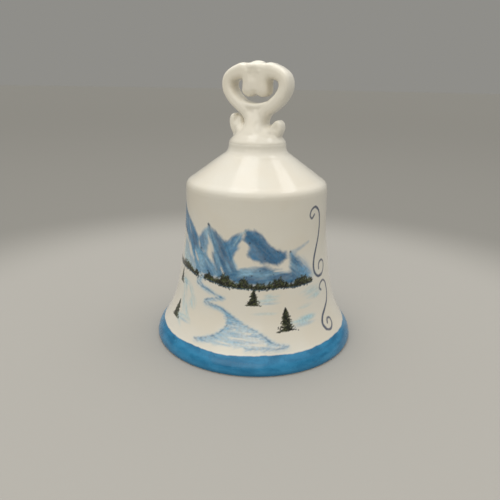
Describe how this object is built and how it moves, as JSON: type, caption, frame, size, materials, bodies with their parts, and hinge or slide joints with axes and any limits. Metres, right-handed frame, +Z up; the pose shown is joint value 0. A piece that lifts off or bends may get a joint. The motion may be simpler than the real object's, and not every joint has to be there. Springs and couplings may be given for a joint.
{
  "type": "hand bell",
  "caption": "Small porcelain hand bell with a flared mouth, a pierced heart handle, a painted winter landscape and a bead clapper on a fine chain.",
  "frame": {"origin": "centre of the mouth, in the plane of the rim that the bell stands on", "axes": "+Z up along the bell's axis; -Y towards the painted front; +X to the right of someone facing the front"},
  "size_m": [0.0762, 0.0762, 0.1015],
  "materials": {
    "porcelain": "clear gloss glaze, overglaze painting on the front and a blue band at the mouth",
    "plaster": "matt plaster cement",
    "brass": "drawn wire, lightly tarnished"
  },
  "bodies": {
    "bell": {"bell_body": "porcelain", "heart_handle": "porcelain", "crown_plug": "plaster", "hanger_eye": "brass"},
    "link_1": {"chain_link_1": "brass"},
    "link_2": {"chain_link_2": "brass"},
    "link_3": {"chain_link_3": "brass"},
    "link_4": {"chain_link_4": "brass"},
    "link_5": {"chain_link_5": "brass"},
    "link_6": {"chain_link_6": "brass"},
    "link_7": {"chain_link_7": "brass"},
    "link_8": {"chain_link_8": "brass"},
    "pin": {"clapper_pin": "brass"},
    "clapper": {"clapper_ball": "porcelain"}
  },
  "joints": [
    {"name": "link_1_swing", "type": "hinge", "parent": "bell", "child": "link_1", "pos_m": [0, 0, 0.0615], "axis": [1, 0, 0], "range_deg": [-5, 5]},
    {"name": "link_2_swing", "type": "hinge", "parent": "link_1", "child": "link_2", "pos_m": [0, 0, 0.05745], "axis": [0, 1, 0], "range_deg": [-6, 6]},
    {"name": "link_3_swing", "type": "hinge", "parent": "link_2", "child": "link_3", "pos_m": [0, 0, 0.0534], "axis": [1, 0, 0], "range_deg": [-5, 5]},
    {"name": "link_4_swing", "type": "hinge", "parent": "link_3", "child": "link_4", "pos_m": [0, 0, 0.04935], "axis": [0, 1, 0], "range_deg": [-6, 6]},
    {"name": "link_5_swing", "type": "hinge", "parent": "link_4", "child": "link_5", "pos_m": [0, 0, 0.0453], "axis": [1, 0, 0], "range_deg": [-5, 5]},
    {"name": "link_6_swing", "type": "hinge", "parent": "link_5", "child": "link_6", "pos_m": [0, 0, 0.04125], "axis": [0, 1, 0], "range_deg": [-6, 6]},
    {"name": "link_7_swing", "type": "hinge", "parent": "link_6", "child": "link_7", "pos_m": [0, 0, 0.0372], "axis": [1, 0, 0], "range_deg": [-5, 5]},
    {"name": "link_8_swing", "type": "hinge", "parent": "link_7", "child": "link_8", "pos_m": [0, 0, 0.03315], "axis": [0, 1, 0], "range_deg": [-6, 6]},
    {"name": "pin_swing", "type": "hinge", "parent": "link_8", "child": "pin", "pos_m": [0, 0, 0.0291], "axis": [1, 0, 0], "range_deg": [-5, 5]},
    {"name": "clapper_spin", "type": "hinge", "parent": "pin", "child": "clapper", "pos_m": [0, 0, 0.017], "axis": [0, 0, 1], "continuous": true}
  ]
}
